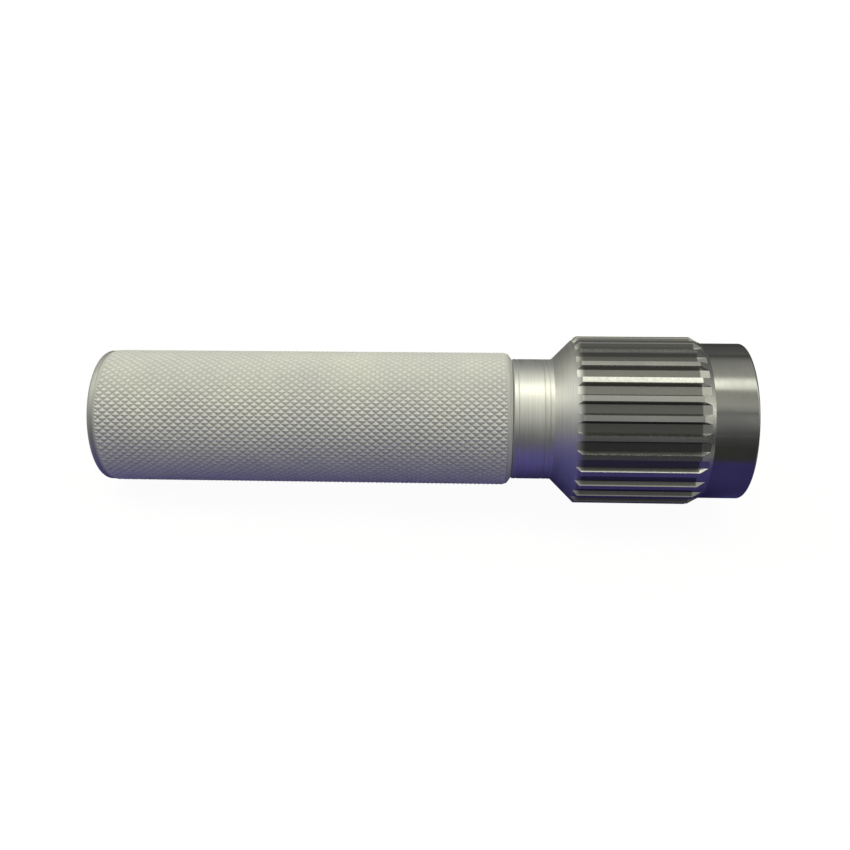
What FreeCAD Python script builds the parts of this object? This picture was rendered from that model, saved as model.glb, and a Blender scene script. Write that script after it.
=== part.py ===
import FreeCAD, Part
import Sketcher
import os
import re

# A pocket fuel sampler that lies on its side: a knurled grip barrel screwed to a fluted valve head.
# Every piece is drawn on the object's own axis, X. Station 0 is the flat base and the stations grow
# towards the mouth, so a piece's outline is a list of (station, radius) corners, in millimetres.
# The Placement of each piece then centres the length on the origin and lifts the axis one head
# radius above the table.

# ---------------------------------------------------------------- driving dimensions
SIZES = [
    ("overall_length", 138.5, "base face to mouth face"),
    ("barrel_radius", 14.5, "over the knurl's crests, 29 mm across"),
    ("barrel_bore", 12.1, "bore radius of the barrel"),
    ("barrel_end", 89.3, "station of the barrel's open end"),
    ("barrel_bevel", 1.35, "radial size of the bevel at the open end"),
    ("barrel_bevel_length", 1.0, "length of that bevel"),
    ("barrel_edge", 0.25, "small bevel at the barrel's closed end"),
    ("rim_thickness", 1.5, "thickness of the base cap's rim"),
    ("rim_radius", 14.3, "radius of the base cap's rim"),
    ("rim_round", 1.1, "round of the base cap's outer edge"),
    ("plug_end", 6.8, "station of the base cap's inner face"),
    ("plug_radius", 12.0, "radius of the base cap's threaded plug"),
    ("plug_pitch", 0.8, "pitch of the plug's thread"),
    ("plug_groove_start", 1.9, "start of the seal's groove in the plug"),
    ("plug_groove_end", 3.4, "end of that groove"),
    ("plug_groove_floor", 10.6, "radius of that groove's floor"),
    ("plug_seal_section", 0.7, "section radius of the seal in it"),
    ("slot_width", 1.8, "width of the coin slot in the base cap"),
    ("slot_depth", 0.9, "depth of the coin slot"),
    ("slot_length", 17.0, "length of the coin slot"),
    ("cushion_thickness", 2.4, "rubber pad under the sample cup"),
    ("cushion_radius", 11.5, "radius of the pad"),
    ("cushion_edge", 0.4, "bevel of the pad's edge"),
    ("cup_start", 9.6, "station of the sample cup's closed end"),
    ("cup_radius", 11.2, "outer radius of the sample cup"),
    ("cup_wall", 1.2, "wall of the sample cup"),
    ("cup_floor", 1.4, "floor of the sample cup"),
    ("cup_shoulder", 72.0, "station where the cup narrows"),
    ("cup_neck_radius", 8.4, "outer radius of the cup's neck"),
    ("cup_neck_bore", 7.0, "bore radius of the cup's neck and of the head's throat"),
    ("cup_end", 88.0, "station of the neck's open end"),
    ("cup_bottom_round", 2.0, "outer round of the closed end"),
    ("cup_inside_round", 1.4, "inner round of the closed end"),
    ("cup_pitch", 1.5, "pitch of the neck's thread"),
    ("gasket_play", 0.1, "gap on both sides of the cup's gasket"),
    ("buffer_station", 18.0, "station of the ring that centres the cup in the barrel"),
    ("buffer_section", 0.4, "section radius of that ring"),
    ("spigot_start", 77.4, "station of the head's threaded spigot end"),
    ("spigot_radius", 12.0, "crest radius of the spigot's thread"),
    ("spigot_bore", 8.6, "bore radius that takes the cup's neck"),
    ("spigot_lead", 0.4, "lead-in bevel of that bore"),
    ("spigot_bevel", 0.5, "bevel at the start of the spigot's thread"),
    ("spigot_pitch", 1.0, "pitch of the spigot's thread"),
    ("spigot_groove_start", 87.0, "start of the seal's groove in the spigot"),
    ("spigot_groove_end", 88.6, "end of that groove"),
    ("spigot_groove_floor", 10.7, "radius of that groove's floor"),
    ("spigot_seal_section", 0.65, "section radius of the seal in it"),
    ("shoulder", 89.4, "station of the shoulder that the barrel stops at"),
    ("neck_radius", 13.1, "radius of the smooth neck"),
    ("neck_end", 98.0, "station where the neck meets the cone"),
    ("neck_ring_depth", 0.14, "depth of the fine rings turned in the neck"),
    ("neck_ring_width", 0.42, "width of one fine ring"),
    ("neck_ring_near", 90.6, "station of the fine ring at the barrel's end of the neck"),
    ("neck_ring_middle", 96.0, "station of the first fine ring near the cone"),
    ("neck_ring_far", 97.1, "station of the second fine ring near the cone"),
    ("head_radius", 18.2, "over the ridges between the flutes"),
    ("flute_end", 127.1, "station where the ridges end"),
    ("flute_count", 28, "flutes round the head"),
    ("flute_depth", 0.95, "depth of one flute"),
    ("flute_width", 3.0, "width of the flute between the ridges"),
    ("flute_floor", 1.8, "width of the flute's flat floor"),
    ("flute_over", 0.3, "how far the cut that makes the flute starts outside the ridges"),
    ("flute_turn", 8.0, "turn of the first flute from the +Y side, in degrees"),
    ("head_end", 129.7, "station where the head meets the mouth ring"),
    ("throat_start", 89.0, "station of the step that the cup's gasket seals on"),
    ("throat_mouth", 10.2, "radius that the throat opens out to behind the bridge"),
    ("throat_lip", 1.2, "length of the throat at that radius"),
    ("chamber_start", 100.0, "station of the valve chamber's floor"),
    ("chamber_radius", 13.6, "bore radius of the valve chamber"),
    ("ring_bore_start", 121.9, "station of the step in front of the mouth ring"),
    ("ring_bore", 15.3, "bore radius that takes the mouth ring's shank"),
    ("snap_groove_depth", 0.55, "depth of the snap ring's groove in the chamber"),
    ("snap_groove_width", 1.1, "width of that groove"),
    ("mouth_radius", 16.8, "outer radius of the mouth ring"),
    ("mouth_round", 0.5, "round of the mouth ring's outer edge"),
    ("mouth_bore", 12.1, "bore radius of the mouth ring"),
    ("mouth_lead", 0.8, "lead-in bevel of the mouth"),
    ("shank_start", 122.0, "station of the mouth ring's inner end"),
    ("shank_radius", 15.2, "radius of the mouth ring's threaded shank"),
    ("shank_bevel", 0.6, "bevel at the shank's inner end"),
    ("shank_pitch", 0.9, "pitch of the shank's thread"),
    ("shank_groove_start", 127.9, "start of the seal's groove in the shank"),
    ("shank_groove_end", 129.2, "end of that groove"),
    ("shank_groove_floor", 14.15, "radius of that groove's floor"),
    ("shank_seal_section", 0.53, "section radius of the seal in it"),
    ("relief_start", 132.6, "start of the relief groove in the mouth ring's bore"),
    ("relief_end", 133.4, "end of the relief groove"),
    ("relief_radius", 12.6, "radius of the relief groove"),
    ("spider_thickness", 3.0, "bridge that carries the probe"),
    ("spider_radius", 13.5, "radius of the bridge"),
    ("spider_hole_circle", 6.9, "radius of the circle of fuel holes"),
    ("spider_hole_radius", 3.0, "radius of one fuel hole"),
    ("spider_hole_count", 4, "fuel holes in the bridge"),
    ("snap_wire", 0.5, "wire radius of the snap ring"),
    ("snap_sweep", 330, "degrees that the open snap ring goes round"),
    ("probe_thread", 2.0, "crest radius of the probe's M4 thread"),
    ("probe_pitch", 0.7, "pitch of that thread"),
    ("probe_bevel", 0.4, "bevel at the start of that thread"),
    ("probe_start", 94.8, "station of the probe's threaded end"),
    ("probe_collar", 3.4, "radius of the collar that bears on the bridge"),
    ("probe_collar_length", 1.2, "length of that collar"),
    ("probe_stem", 2.5, "radius of the probe's stem"),
    ("probe_cone", 112.9, "station where the mushroom head begins"),
    ("probe_head", 8.0, "radius of the mushroom head"),
    ("probe_rim", 1.2, "thickness of the mushroom head's rim"),
    ("probe_nose", 3.6, "radius where the head's front cone ends"),
    ("probe_nose_length", 2.6, "length of the head's front cone"),
    ("probe_nose_taper", 1.6, "length of the taper down to the pin"),
    ("probe_pin", 2.0, "radius of the pin that opens the drain valve"),
    ("probe_tip_bevel", 0.5, "bevel of the pin's tip"),
    ("probe_tip", 131.5, "station of the pin's tip"),
    ("nut_flats", 7.0, "across flats of the probe's nut"),
    ("nut_height", 3.2, "height of the probe's nut"),
    ("washer_thickness", 0.8, "probe's lock washer"),
    ("washer_radius", 3.6, "outer radius of the lock washer"),
    ("washer_sweep", 350, "degrees that the split washer goes round"),
    ("valve_gap", 0.3, "axial gap between the mushroom's cone and the seat"),
    ("seat_seal_mean", 6.9, "mean radius of the seal in the mushroom"),
    ("seat_seal_section", 0.6, "section radius of that seal"),
    ("contact_gap", 0.03, "gap left where a seal touches its seat"),
    ("tail_start", 110.0, "station of the sleeve's tail end"),
    ("tail_radius", 10.0, "radius of the sleeve's tail inside the spring"),
    ("tail_bore", 5.5, "bore radius of the sleeve's tail"),
    ("piston_start", 116.0, "station of the sleeve's piston face"),
    ("piston_end", 121.5, "station of the piston's front face"),
    ("piston_radius", 13.3, "radius of the piston"),
    ("guide_groove_start", 116.8, "start of the guide band's groove in the piston"),
    ("guide_groove_end", 118.4, "end of that groove"),
    ("guide_groove_floor", 12.2, "radius of that groove's floor"),
    ("guide_play", 0.08, "gap between the guide band and the chamber"),
    ("guide_sweep", 352, "degrees that the split guide band goes round"),
    ("piston_groove_start", 119.2, "start of the seal's groove in the piston"),
    ("piston_groove_end", 120.9, "end of that groove"),
    ("piston_groove_floor", 12.0, "radius of that groove's floor"),
    ("piston_seal_section", 0.76, "section radius of the seal in it"),
    ("nose_radius", 11.8, "radius of the sleeve's nose"),
    ("nose_bore", 9.0, "bore radius of the nose around the mushroom"),
    ("nose_end", 132.3, "station of the nose's end"),
    ("face_seal_inner", 9.75, "inner radius of the face seal"),
    ("face_seal_outer", 11.25, "outer radius of the face seal"),
    ("face_seal_depth", 1.4, "depth of the face seal's groove"),
    ("face_seal_proud", 0.2, "how far the face seal stands out of the nose"),
    ("face_seal_taper", 0.25, "how much narrower each side of the seal gets there"),
    ("spring_mean", 11.4, "mean radius of the valve spring's coils"),
    ("spring_wire", 0.5, "wire radius of the valve spring"),
    ("spring_pitch", 2.5, "pitch of the valve spring at rest"),
    ("vent_station", 93.9, "station of the vent screw, on the neck's +Y side"),
    ("vent_hole", 1.5, "radius of the vent's drilled hole"),
    ("vent_seat", 10.6, "distance of the vent's seat from the axis"),
    ("vent_pocket", 3.0, "radius of the vent screw's counterbore"),
    ("vent_washer", 0.6, "thickness of the vent's seal"),
    ("vent_head", 2.7, "radius of the vent screw's head"),
    ("vent_head_height", 1.6, "height of the vent screw's head"),
    ("vent_head_bevel", 0.2, "bevel of the vent screw's head"),
    ("vent_shank", 1.42, "radius of the vent screw's shank"),
    ("vent_pitch", 0.5, "pitch of the vent screw's thread"),
    ("vent_tip", 7.4, "distance of the shank's tip from the axis"),
    ("vent_slot_width", 0.6, "width of the vent screw's slot"),
    ("vent_slot_depth", 0.7, "depth of the vent screw's slot"),
    ("edge_break", 0.3, "small bevel on turned edges"),
    ("slack", 0.05, "gap between pieces that are screwed or pressed together"),
]

document = FreeCAD.newDocument("fuel_sampler_cup")
dim = document.addObject("Spreadsheet::Sheet", "dim")
for row, (size_name, size, note) in enumerate(SIZES, 1):
    dim.set("A%d" % row, size_name)
    dim.set("B%d" % row, str(size))
    dim.setAlias("B%d" % row, size_name)
    dim.set("C%d" % row, note)
document.recompute()
SIZE_NAMES = {entry[0] for entry in SIZES}
pieces = []


# ---------------------------------------------------------------- formulas
def formula(text):
    """The same formula with each size name turned into a reference to its cell."""
    return re.sub(
        r"[a-z][a-z_]*",
        lambda word: "dim." + word.group() if word.group() in SIZE_NAMES else word.group(),
        text,
    )


def value(text):
    """What a formula comes to, as a plain number."""
    return float(dim.evalExpression(formula(text)))


def bind(item, field, text):
    """Tie one property of a document object to a formula."""
    item.setExpression(field, formula(text))


def place(piece, station="0", turn=None):
    """Set a piece in the object's frame: its own origin goes to a station on the axis."""
    if turn:
        piece.Placement = FreeCAD.Placement(FreeCAD.Vector(), turn)
    bind(piece, "Placement.Base.x", "%s - overall_length / 2" % station)
    bind(piece, "Placement.Base.z", "head_radius")
    pieces.append(piece)
    return piece


# ---------------------------------------------------------------- sketches and features
def origin_feature(body, role):
    """The body's own axis or plane with this role."""
    return next(item for item in body.Origin.OriginFeatures if item.Role == role)


def new_body(name):
    """An empty body whose label names the piece."""
    body = document.addObject("PartDesign::Body", name)
    body.Label = name
    return body


def new_sketch(body, name, plane="XY_Plane"):
    """A sketch lying on one of the body's own origin planes."""
    sketch = body.newObject("Sketcher::SketchObject", name)
    sketch.AttachmentSupport = (origin_feature(body, plane), [""])
    sketch.MapMode = "FlatFace"
    return sketch


def tie(sketch, direction, line, text):
    """Hold the start of a line at a signed distance from the sketch's origin."""
    if text == "0":
        axis = -2 if direction == "DistanceX" else -1
        sketch.addConstraint(Sketcher.Constraint("PointOnObject", line, 1, axis))
        return
    rule = Sketcher.Constraint(direction, -1, 1, line, 1, value(text))
    number = sketch.addConstraint(rule)
    bind(sketch, "Constraints[%d]" % number, text)


def draw_outline(sketch, corners):
    """Join the corners by straight lines, and tie each corner to its two formulas."""
    points = [FreeCAD.Vector(value(across), value(up), 0) for across, up in corners]
    count = len(points)
    lines = [Part.LineSegment(points[i], points[(i + 1) % count]) for i in range(count)]
    sketch.addGeometry(lines, False)
    joins = [Sketcher.Constraint("Coincident", i, 2, (i + 1) % count, 1) for i in range(count)]
    sketch.addConstraint(joins)
    for line, (across, up) in enumerate(corners):
        tie(sketch, "DistanceX", line, across)
        tie(sketch, "DistanceY", line, up)


def draw_circle(sketch, across, up, radius):
    """A circle with its centre and radius tied to formulas."""
    centre = FreeCAD.Vector(value(across), value(up), 0)
    number = sketch.addGeometry(Part.Circle(centre, FreeCAD.Vector(0, 0, 1), value(radius)), False)
    for direction, text, axis in (("DistanceX", across, -2), ("DistanceY", up, -1)):
        if text == "0":
            sketch.addConstraint(Sketcher.Constraint("PointOnObject", number, 3, axis))
        else:
            rule = Sketcher.Constraint(direction, -1, 1, number, 3, value(text))
            bind(sketch, "Constraints[%d]" % sketch.addConstraint(rule), text)
    rule = Sketcher.Constraint("Radius", number, value(radius))
    bind(sketch, "Constraints[%d]" % sketch.addConstraint(rule), radius)


def turned(name, corners, sweep="360"):
    """A body turned about X from an outline of (station, radius) corners."""
    body = new_body(name)
    sketch = new_sketch(body, name + "_outline")
    draw_outline(sketch, corners)
    turning = body.newObject("PartDesign::Revolution", name + "_turning")
    turning.Profile = sketch
    turning.ReferenceAxis = (sketch, ["H_Axis"])
    turning.Angle = value(sweep)
    document.recompute()
    return body


def cut_ring(body, name, corners):
    """Turn a ring-shaped groove into a body."""
    sketch = new_sketch(body, name + "_outline")
    draw_outline(sketch, corners)
    groove = body.newObject("PartDesign::Groove", name)
    groove.Profile = sketch
    groove.ReferenceAxis = (sketch, ["H_Axis"])
    groove.Angle = 360
    document.recompute()
    return groove


def vee(middle, width, crest, depth):
    """The corners of a V groove that starts just outside the crest."""
    over = "%s + slack" % crest
    return [
        ("%s - %s / 2" % (middle, width), over),
        ("%s + %s / 2" % (middle, width), over),
        (middle, "%s - %s" % (crest, depth)),
    ]


def turned_point(reach, aside, angle):
    """A corner at a reach from the axis and a distance aside, turned about the axis by an angle."""
    across = "(%s) * cos(%s) - (%s) * sin(%s)" % (reach, angle, aside, angle)
    up = "(%s) * sin(%s) + (%s) * cos(%s)" % (reach, angle, aside, angle)
    return across, up


def square_groove(groove, surface):
    """The corners of the square groove whose sizes start with this name."""
    return [
        (groove + "_groove_start", surface),
        (groove + "_groove_start", groove + "_groove_floor"),
        (groove + "_groove_end", groove + "_groove_floor"),
        (groove + "_groove_end", surface),
    ]


def cut_thread(body, name, start, crest, pitch, depth, count):
    """Cut side-by-side V grooves, as deep as a thread, along the body's axis.

    The first lies one and a half pitches from where the threaded length starts.
    """
    corners = vee("(%s + 1.5 * %s)" % (start, pitch), pitch + " * 0.84", crest, depth)
    groove = cut_ring(body, name + "_groove", corners)
    row_of_grooves = body.newObject("PartDesign::LinearPattern", name)
    row_of_grooves.Originals = [groove]
    row_of_grooves.Direction = (origin_feature(body, "X_Axis"), [""])
    row_of_grooves.Length = value(pitch) * (count - 1)
    row_of_grooves.Occurrences = count
    body.Tip = row_of_grooves
    document.recompute()


def cut_pocket(body, sketch, name, depth=None):
    """Cut a sketch into the body along the sketch's normal, right through or to a depth.

    The pocket is turned round if it first points away from the solid.
    """
    before = body.Shape.Volume
    pocket = body.newObject("PartDesign::Pocket", name)
    pocket.Profile = sketch
    if depth:
        pocket.Type = "Length"
        bind(pocket, "Length", depth)
    else:
        pocket.Type = "ThroughAll"
    document.recompute()
    if body.Shape.Volume > before - 0.01:
        pocket.Reversed = True
        document.recompute()
    if body.Shape.Volume > before - 0.01:
        raise SystemExit("%s cuts nothing" % name)
    return pocket


def repeat_around(body, feature, name, count):
    """Repeat a cut evenly around the body's axis."""
    ring = body.newObject("PartDesign::PolarPattern", name)
    ring.Originals = [feature]
    ring.Axis = (origin_feature(body, "X_Axis"), [""])
    ring.Angle = 360
    bind(ring, "Occurrences", count)
    body.Tip = ring
    document.recompute()


def round_rim(body, name, station, radius, size):
    """Round the circular edge of a turned body that lies at a station and radius."""
    edges = []
    base = body.Tip
    for number, edge in enumerate(base.Shape.Edges, 1):
        if not isinstance(edge.Curve, Part.Circle):
            continue
        same_station = abs(edge.Curve.Center.x - value(station)) < 0.001
        if same_station and abs(edge.Curve.Radius - value(radius)) < 0.001:
            edges.append("Edge%d" % number)
    fillet = body.newObject("PartDesign::Fillet", name)
    fillet.Base = (base, edges)
    bind(fillet, "Radius", size)
    document.recompute()


# Turning a torus's own axis, Z, on to the object's axis, X.
Z_TO_X = FreeCAD.Rotation(FreeCAD.Vector(0, 1, 0), 90)
# Turning a turned piece's axis, X, on to Y, for the vent that crosses the neck.
X_TO_Y = FreeCAD.Rotation(FreeCAD.Vector(0, 0, 1), 90)


def round_ring(name, station, mean, section):
    """A ring of round section about the object's axis, as an O-ring or a snap ring is."""
    torus = document.addObject("Part::Torus", name)
    torus.Label = name
    bind(torus, "Radius1", mean)
    bind(torus, "Radius2", section)
    return place(torus, station, Z_TO_X)


def ring_in_groove(name, groove):
    """The O-ring that lies just clear of the floor of a square groove."""
    station = "(%s_groove_start + %s_groove_end) / 2" % (groove, groove)
    section = groove + "_seal_section"
    return round_ring(name, station, "%s_groove_floor + %s + contact_gap" % (groove, section), section)


# ---------------------------------------------------------------- grip barrel
def make_barrel():
    """The grip tube, as wide as the knurl's crests, with a bevel at its open end."""
    corners = [
        ("rim_thickness", "barrel_bore"),
        ("rim_thickness", "barrel_radius - barrel_edge"),
        ("rim_thickness + barrel_edge", "barrel_radius"),
        ("barrel_end - barrel_bevel_length", "barrel_radius"),
        ("barrel_end", "barrel_radius - barrel_bevel"),
        ("barrel_end", "barrel_bore + edge_break"),
        ("barrel_end - edge_break", "barrel_bore"),
    ]
    place(turned("barrel", corners))


def make_base_cap():
    """The screwed plug that closes the barrel, with a rounded rim and a coin slot."""
    corners = [
        ("0", "0"),
        ("0", "rim_radius"),
        ("rim_thickness", "rim_radius"),
        ("rim_thickness", "plug_radius"),
        *square_groove("plug", "plug_radius"),
        ("plug_end - edge_break", "plug_radius"),
        ("plug_end", "plug_radius - edge_break"),
        ("plug_end", "0"),
    ]
    cap = turned("base_cap", corners)
    thread_start = "plug_groove_end - plug_pitch / 2"
    cut_thread(cap, "plug_thread", thread_start, "plug_radius", "plug_pitch", "plug_pitch / 2", 3)
    round_rim(cap, "rim_edge", "0", "rim_radius", "rim_round")
    slot = new_sketch(cap, "slot_outline", "YZ_Plane")
    half = "slot_length / 2"
    wide = "slot_width / 2"
    corners = [("-" + half, "-" + wide), (half, "-" + wide), (half, wide), ("-" + half, wide)]
    draw_outline(slot, corners)
    cut_pocket(cap, slot, "coin_slot", "slot_depth")
    place(cap)


def make_cup_cushion():
    """The rubber pad on the base cap's inner face, under the sample cup."""
    corners = [
        ("plug_end", "0"),
        ("plug_end", "cushion_radius"),
        ("plug_end + cushion_thickness - cushion_edge", "cushion_radius"),
        ("plug_end + cushion_thickness", "cushion_radius - cushion_edge"),
        ("plug_end + cushion_thickness", "0"),
    ]
    place(turned("cup_cushion", corners))


# ---------------------------------------------------------------- sample cup
def make_sample_cup():
    """The clear cup, closed at the base end, with a neck that screws into the head's spigot."""
    inner = "cup_radius - cup_wall"
    inner_shoulder = "cup_shoulder - cup_wall / 2"
    corners = [
        ("cup_start", "0"),
        ("cup_start", "cup_radius"),
        ("cup_shoulder", "cup_radius"),
        ("cup_shoulder + cup_radius - cup_neck_radius", "cup_neck_radius"),
        ("cup_end", "cup_neck_radius"),
        ("cup_end", "cup_neck_bore"),
        (inner_shoulder + " + cup_radius - cup_wall - cup_neck_bore", "cup_neck_bore"),
        (inner_shoulder, inner),
        ("cup_start + cup_floor", inner),
        ("cup_start + cup_floor", "0"),
    ]
    cup = turned("sample_cup", corners)
    round_rim(cup, "cup_bottom", "cup_start", "cup_radius", "cup_bottom_round")
    round_rim(cup, "cup_bottom_inside", "cup_start + cup_floor", inner, "cup_inside_round")
    cut_thread(cup, "cup_thread", "spigot_start", "cup_neck_radius", "cup_pitch", "cup_pitch / 4", 4)
    place(cup)


def make_cup_gasket():
    """The flat ring between the cup's neck and the step in the head."""
    corners = [
        ("cup_end", "cup_neck_bore + gasket_play"),
        ("cup_end", "spigot_bore - gasket_play"),
        ("throat_start", "spigot_bore - gasket_play"),
        ("throat_start", "cup_neck_bore + gasket_play"),
    ]
    place(turned("cup_gasket", corners))


# ---------------------------------------------------------------- valve head
def make_head_body():
    """Spigot, neck, cone and fluted grip in one turned piece, bored for the valve."""
    bridge_face = "chamber_start + spider_thickness"
    corners = [
        ("spigot_start", "spigot_bore + spigot_lead"),
        ("spigot_start", "spigot_radius - spigot_bevel"),
        ("spigot_start + spigot_bevel", "spigot_radius"),
        *square_groove("spigot", "spigot_radius"),
        ("shoulder", "spigot_radius"),
        ("shoulder", "neck_radius - edge_break"),
        ("shoulder + edge_break", "neck_radius"),
        ("neck_end", "neck_radius"),
        ("neck_end + head_radius - neck_radius", "head_radius"),
        ("flute_end", "head_radius"),
        ("head_end", "mouth_radius"),
        ("head_end", "ring_bore"),
        ("ring_bore_start", "ring_bore"),
        ("ring_bore_start", "chamber_radius"),
        (bridge_face + " + snap_groove_width - slack", "chamber_radius"),
        (bridge_face + " + snap_groove_width - slack", "chamber_radius + snap_groove_depth"),
        (bridge_face + " - slack", "chamber_radius + snap_groove_depth"),
        (bridge_face + " - slack", "chamber_radius"),
        ("chamber_start", "chamber_radius"),
        ("chamber_start", "throat_mouth"),
        ("chamber_start - throat_lip", "throat_mouth"),
        ("chamber_start - throat_lip - throat_mouth + cup_neck_bore", "cup_neck_bore"),
        ("throat_start", "cup_neck_bore"),
        ("throat_start", "spigot_bore"),
        ("spigot_start + spigot_lead", "spigot_bore"),
    ]
    head = turned("head_body", corners)
    cut_thread(head, "spigot_thread", "spigot_start", "spigot_radius", "spigot_pitch", "spigot_pitch / 2", 7)
    for station in ("neck_ring_near", "neck_ring_middle", "neck_ring_far"):
        cut_ring(head, station + "_cut", vee(station, "neck_ring_width", "neck_radius", "neck_ring_depth"))

    # The first flute is turned by more than half a step, so that ridges are lowest and highest.
    flute = new_sketch(head, "flute_outline", "YZ_Plane")
    outer = "head_radius + flute_over"
    floor = "head_radius - flute_depth"
    half_mouth = "(flute_width + (flute_width - flute_floor) * flute_over / flute_depth) / 2"
    draw_outline(flute, [
        turned_point(outer, "-" + half_mouth, "flute_turn"),
        turned_point(outer, half_mouth, "flute_turn"),
        turned_point(floor, "flute_floor / 2", "flute_turn"),
        turned_point(floor, "-flute_floor / 2", "flute_turn"),
    ])
    first_flute = cut_pocket(head, flute, "flute")
    repeat_around(head, first_flute, "flutes", "flute_count")

    drilling = new_sketch(head, "vent_outline", "XZ_Plane")
    draw_circle(drilling, "vent_station", "0", "vent_hole")
    cut_pocket(head, drilling, "vent_drilling")
    pocket = new_sketch(head, "vent_pocket_outline", "XZ_Plane")
    bind(pocket, "AttachmentOffset.Base.z", "-vent_seat")
    draw_circle(pocket, "vent_station", "0", "vent_pocket")
    cut_pocket(head, pocket, "vent_counterbore")
    place(head)


def make_mouth_ring():
    """The smooth collar: its bore guides the sleeve and takes the aircraft's drain valve."""
    corners = [
        ("shank_start", "mouth_bore"),
        ("shank_start", "shank_radius - shank_bevel"),
        ("shank_start + shank_bevel", "shank_radius"),
        *square_groove("shank", "shank_radius"),
        ("head_end", "shank_radius"),
        ("head_end", "mouth_radius"),
        ("overall_length", "mouth_radius"),
        ("overall_length", "mouth_bore + mouth_lead"),
        ("overall_length - mouth_lead", "mouth_bore"),
        ("relief_end", "mouth_bore"),
        ("relief_end", "relief_radius"),
        ("relief_start", "relief_radius"),
        ("relief_start", "mouth_bore"),
    ]
    ring = turned("mouth_ring", corners)
    cut_thread(ring, "shank_thread", "shank_start", "shank_radius", "shank_pitch", "shank_pitch / 2", 5)
    round_rim(ring, "mouth_edge", "overall_length", "mouth_radius", "mouth_round")
    place(ring)


# ---------------------------------------------------------------- fixed probe
# The seat in the sleeve is a 45 degree cone, and the seal in the mushroom all but touches it.
SEAT_START = "(probe_cone - probe_stem + tail_bore - valve_gap)"
SEAT_SEAL_STATION = (
    "(probe_cone - probe_stem - valve_gap + seat_seal_mean + (seat_seal_section + contact_gap) * sqrt(2))"
)


def make_probe_spider():
    """The drilled bridge on the chamber's floor that holds the probe on the axis."""
    face = "chamber_start + spider_thickness"
    corners = [
        ("chamber_start", "probe_thread + slack"),
        ("chamber_start", "spider_radius"),
        (face, "spider_radius"),
        (face, "probe_thread + slack"),
    ]
    spider = turned("probe_spider", corners)
    hole = new_sketch(spider, "fuel_hole_outline", "YZ_Plane")
    draw_circle(hole, "spider_hole_circle", "0", "spider_hole_radius")
    first_hole = cut_pocket(spider, hole, "fuel_hole")
    repeat_around(spider, first_hole, "fuel_holes", "spider_hole_count")
    place(spider)


def make_valve_probe():
    """The fixed probe: thread, collar, stem, mushroom head with a seal groove, and pin."""
    bridge_face = "chamber_start + spider_thickness"
    back = "probe_cone - probe_stem"
    groove_low = "seat_seal_mean - seat_seal_section - slack"
    groove_high = "seat_seal_mean + seat_seal_section + slack"
    groove_floor = SEAT_SEAL_STATION + " + seat_seal_section + contact_gap"
    rim = back + " + probe_head"
    corners = [
        ("probe_start", "0"),
        ("probe_start", "probe_thread - probe_bevel"),
        ("probe_start + probe_bevel", "probe_thread"),
        (bridge_face, "probe_thread"),
        (bridge_face, "probe_collar"),
        (bridge_face + " + probe_collar_length", "probe_collar"),
        (bridge_face + " + probe_collar_length", "probe_stem"),
        ("probe_cone", "probe_stem"),
        (back + " + " + groove_low, groove_low),
        (groove_floor, groove_low),
        (groove_floor, groove_high),
        (back + " + " + groove_high, groove_high),
        (rim, "probe_head"),
        (rim + " + probe_rim", "probe_head"),
        (rim + " + probe_rim + probe_nose_length", "probe_nose"),
        (rim + " + probe_rim + probe_nose_length + probe_nose_taper", "probe_pin"),
        ("probe_tip - probe_tip_bevel", "probe_pin"),
        ("probe_tip", "probe_pin - probe_tip_bevel"),
        ("probe_tip", "0"),
    ]
    probe = turned("valve_probe", corners)
    cut_thread(probe, "probe_screw", "probe_start", "probe_thread", "probe_pitch", "probe_pitch / 2", 5)
    place(probe)


def make_probe_nut():
    """The hexagon nut that clamps the probe to the bridge."""
    blank = document.addObject("Part::Prism", "nut_blank")
    blank.Polygon = 6
    bind(blank, "Circumradius", "nut_flats / sqrt(3)")
    bind(blank, "Height", "nut_height")
    bore = document.addObject("Part::Cylinder", "nut_bore")
    bind(bore, "Radius", "probe_thread + slack")
    bind(bore, "Height", "nut_height")
    nut = document.addObject("Part::Cut", "probe_nut")
    nut.Label = "probe_nut"
    nut.Base = blank
    nut.Tool = bore
    place(nut, "chamber_start - washer_thickness - nut_height", Z_TO_X)


def make_lock_washer():
    """The split washer between the nut and the bridge."""
    corners = [
        ("chamber_start - washer_thickness", "probe_thread + slack"),
        ("chamber_start - washer_thickness", "washer_radius"),
        ("chamber_start", "washer_radius"),
        ("chamber_start", "probe_thread + slack"),
    ]
    place(turned("probe_lock_washer", corners, "washer_sweep"))


# ---------------------------------------------------------------- sliding sleeve and spring
def make_seal_sleeve():
    """The sleeve that the drain valve pushes in: tail, piston with two grooves, and nose."""
    corners = [
        ("tail_start", "tail_bore"),
        ("tail_start", "tail_radius"),
        ("piston_start", "tail_radius"),
        ("piston_start", "piston_radius"),
        *square_groove("guide", "piston_radius"),
        *square_groove("piston", "piston_radius"),
        ("piston_end", "piston_radius"),
        ("piston_end", "nose_radius"),
        ("nose_end", "nose_radius"),
        ("nose_end", "face_seal_outer + slack"),
        ("nose_end - face_seal_depth", "face_seal_outer + slack"),
        ("nose_end - face_seal_depth", "face_seal_inner - slack"),
        ("nose_end", "face_seal_inner - slack"),
        ("nose_end", "nose_bore"),
        (SEAT_START + " + nose_bore - tail_bore", "nose_bore"),
        (SEAT_START, "tail_bore"),
    ]
    place(turned("seal_sleeve", corners))


def make_guide_ring():
    """The slippery band that keeps the piston centred in the chamber."""
    corners = [
        ("guide_groove_start + slack", "guide_groove_floor + slack"),
        ("guide_groove_start + slack", "chamber_radius - guide_play"),
        ("guide_groove_end - slack", "chamber_radius - guide_play"),
        ("guide_groove_end - slack", "guide_groove_floor + slack"),
    ]
    place(turned("guide_ring", corners, "guide_sweep"))


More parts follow.
